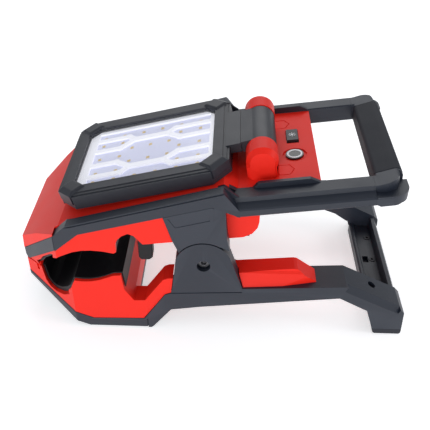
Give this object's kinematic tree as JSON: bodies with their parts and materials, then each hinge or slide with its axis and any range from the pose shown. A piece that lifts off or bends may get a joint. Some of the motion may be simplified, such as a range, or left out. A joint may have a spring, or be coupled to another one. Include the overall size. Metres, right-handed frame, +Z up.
{
  "type": "clamp work light",
  "caption": "Cordless work light on a spring clamp: two pivoting arms with padded jaws and a rear handle, and a flat LED panel head hinged on top.",
  "frame": {"origin": "centre of the footprint, on the floor under the lower arm", "axes": "+X from the jaws to the handles (longest extent), +Y across the arms (mirror plane Y = 0), +Z up"},
  "size_m": [0.3333, 0.1602, 0.166],
  "materials": {
    "red_shell": "satin moulded",
    "dark_frame": "fine textured",
    "black_plastic": "satin",
    "soft_bumper": "matte overmould",
    "pad_rubber": "matte",
    "steel": "zinc plated",
    "spring_steel": "oiled",
    "contact_brass": "plain",
    "circuit_board": "solder mask",
    "badge_black": "gloss",
    "badge_white": "printed",
    "lens_clear": "clear",
    "reflector_white": "satin",
    "led_board": "white solder mask",
    "led_chip": "phosphor"
  },
  "bodies": {
    "lower_arm": {"lower_jaw_shell": "red_shell", "lower_jaw_pad": "pad_rubber", "skid_plate": "dark_frame", "lower_rail_left": "dark_frame", "lower_rail_right": "dark_frame", "rear_crossbar": "dark_frame", "crossbar_screws": "steel", "link_cover_left": "red_shell", "link_cover_right": "red_shell", "pivot_axle": "steel", "pivot_screws": "steel", "clamp_springs": "spring_steel", "foot_pads": "soft_bumper"},
    "upper_arm": {"upper_top_shell": "red_shell", "nose_bumper": "dark_frame", "side_frame_left": "dark_frame", "side_frame_right": "dark_frame", "handle_bar": "dark_frame", "handle_grip": "soft_bumper", "upper_housing": "red_shell", "upper_jaw_pad": "pad_rubber", "jaw_stop_bar": "pad_rubber", "pivot_post_left": "dark_frame", "pivot_post_right": "dark_frame", "battery_dock": "black_plastic", "terminal_block": "black_plastic", "terminal_blades": "contact_brass", "hinge_ear_left": "red_shell", "hinge_ear_right": "red_shell", "hinge_pin": "steel", "driver_board": "circuit_board", "tactile_switch": "black_plastic", "badge_disc": "badge_black", "badge_ring": "badge_white", "housing_screws": "steel"},
    "button": {"power_button": "black_plastic"},
    "head": {"head_frame": "dark_frame", "corner_bumpers": "soft_bumper", "head_back": "dark_frame", "lens": "lens_clear", "lens_gasket": "pad_rubber", "reflector": "reflector_white", "led_board": "led_board", "leds": "led_chip", "hinge_barrel": "dark_frame", "head_screws": "steel"}
  },
  "joints": [
    {"name": "clamp_pivot", "type": "hinge", "parent": "lower_arm", "child": "upper_arm", "pos_m": [-0.0067, 0, 0.0733], "axis": [0, 1, 0], "range_deg": [0, 28], "stiffness_Nm_per_rad": 3, "springref_deg": -28.65},
    {"name": "head_tilt", "type": "hinge", "parent": "upper_arm", "child": "head", "pos_m": [0.0383, 0, 0.153], "axis": [0, 1, 0], "range_deg": [0, 150]},
    {"name": "button_press", "type": "slide", "parent": "upper_arm", "child": "button", "axis": [0.1305, 0, -0.9914], "range_m": [0, 0.0012], "stiffness_N_per_m": 600, "springref_m": -0.0004}
  ]
}
